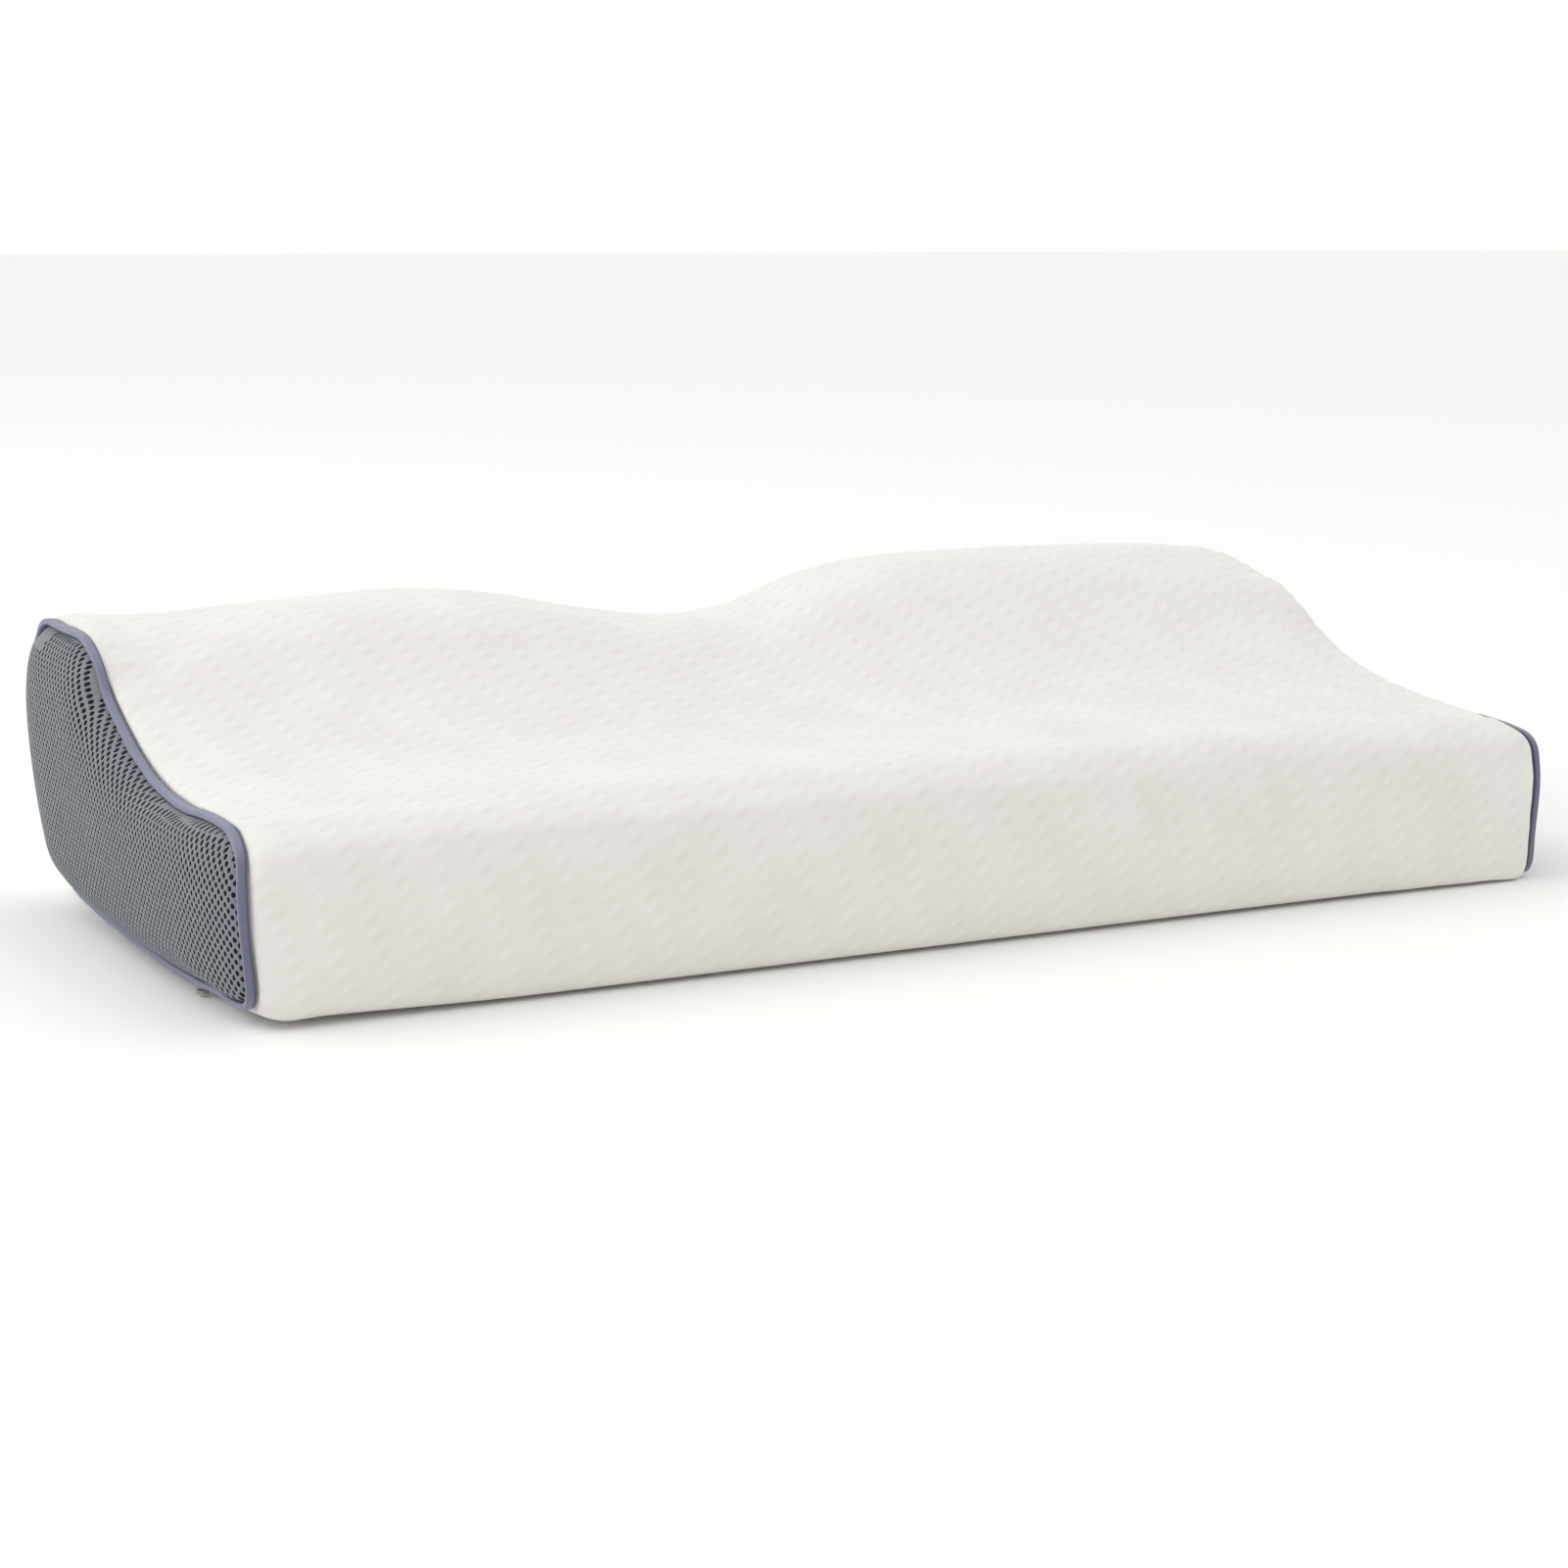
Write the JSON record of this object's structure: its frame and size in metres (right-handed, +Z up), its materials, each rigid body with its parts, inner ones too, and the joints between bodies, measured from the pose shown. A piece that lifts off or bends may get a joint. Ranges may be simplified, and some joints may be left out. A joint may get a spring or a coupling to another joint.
{
  "type": "neck pillow",
  "caption": "Contoured neck pillow: low front, high back with a dip across the middle, knitted cover and bound mesh ends.",
  "frame": {"origin": "on the flat underside, in the middle of the pillow's length and depth", "axes": "+X along the pillow, +Y from the low front to the high back, +Z up"},
  "size_m": [0.631, 0.2809, 0.1274],
  "materials": {
    "knit_cover": "soft white knit with a small raised pattern",
    "mesh_cloth": "grey open mesh, matt",
    "binding_tape": "grey-blue folded tape, matt",
    "pull_metal": "satin"
  },
  "bodies": {
    "root": {"pillow_body": "knit_cover", "end_panel_left": "mesh_cloth", "end_panel_right": "mesh_cloth", "binding_left": "binding_tape", "binding_right": "binding_tape", "pull_tip": "pull_metal"}
  },
  "joints": []
}
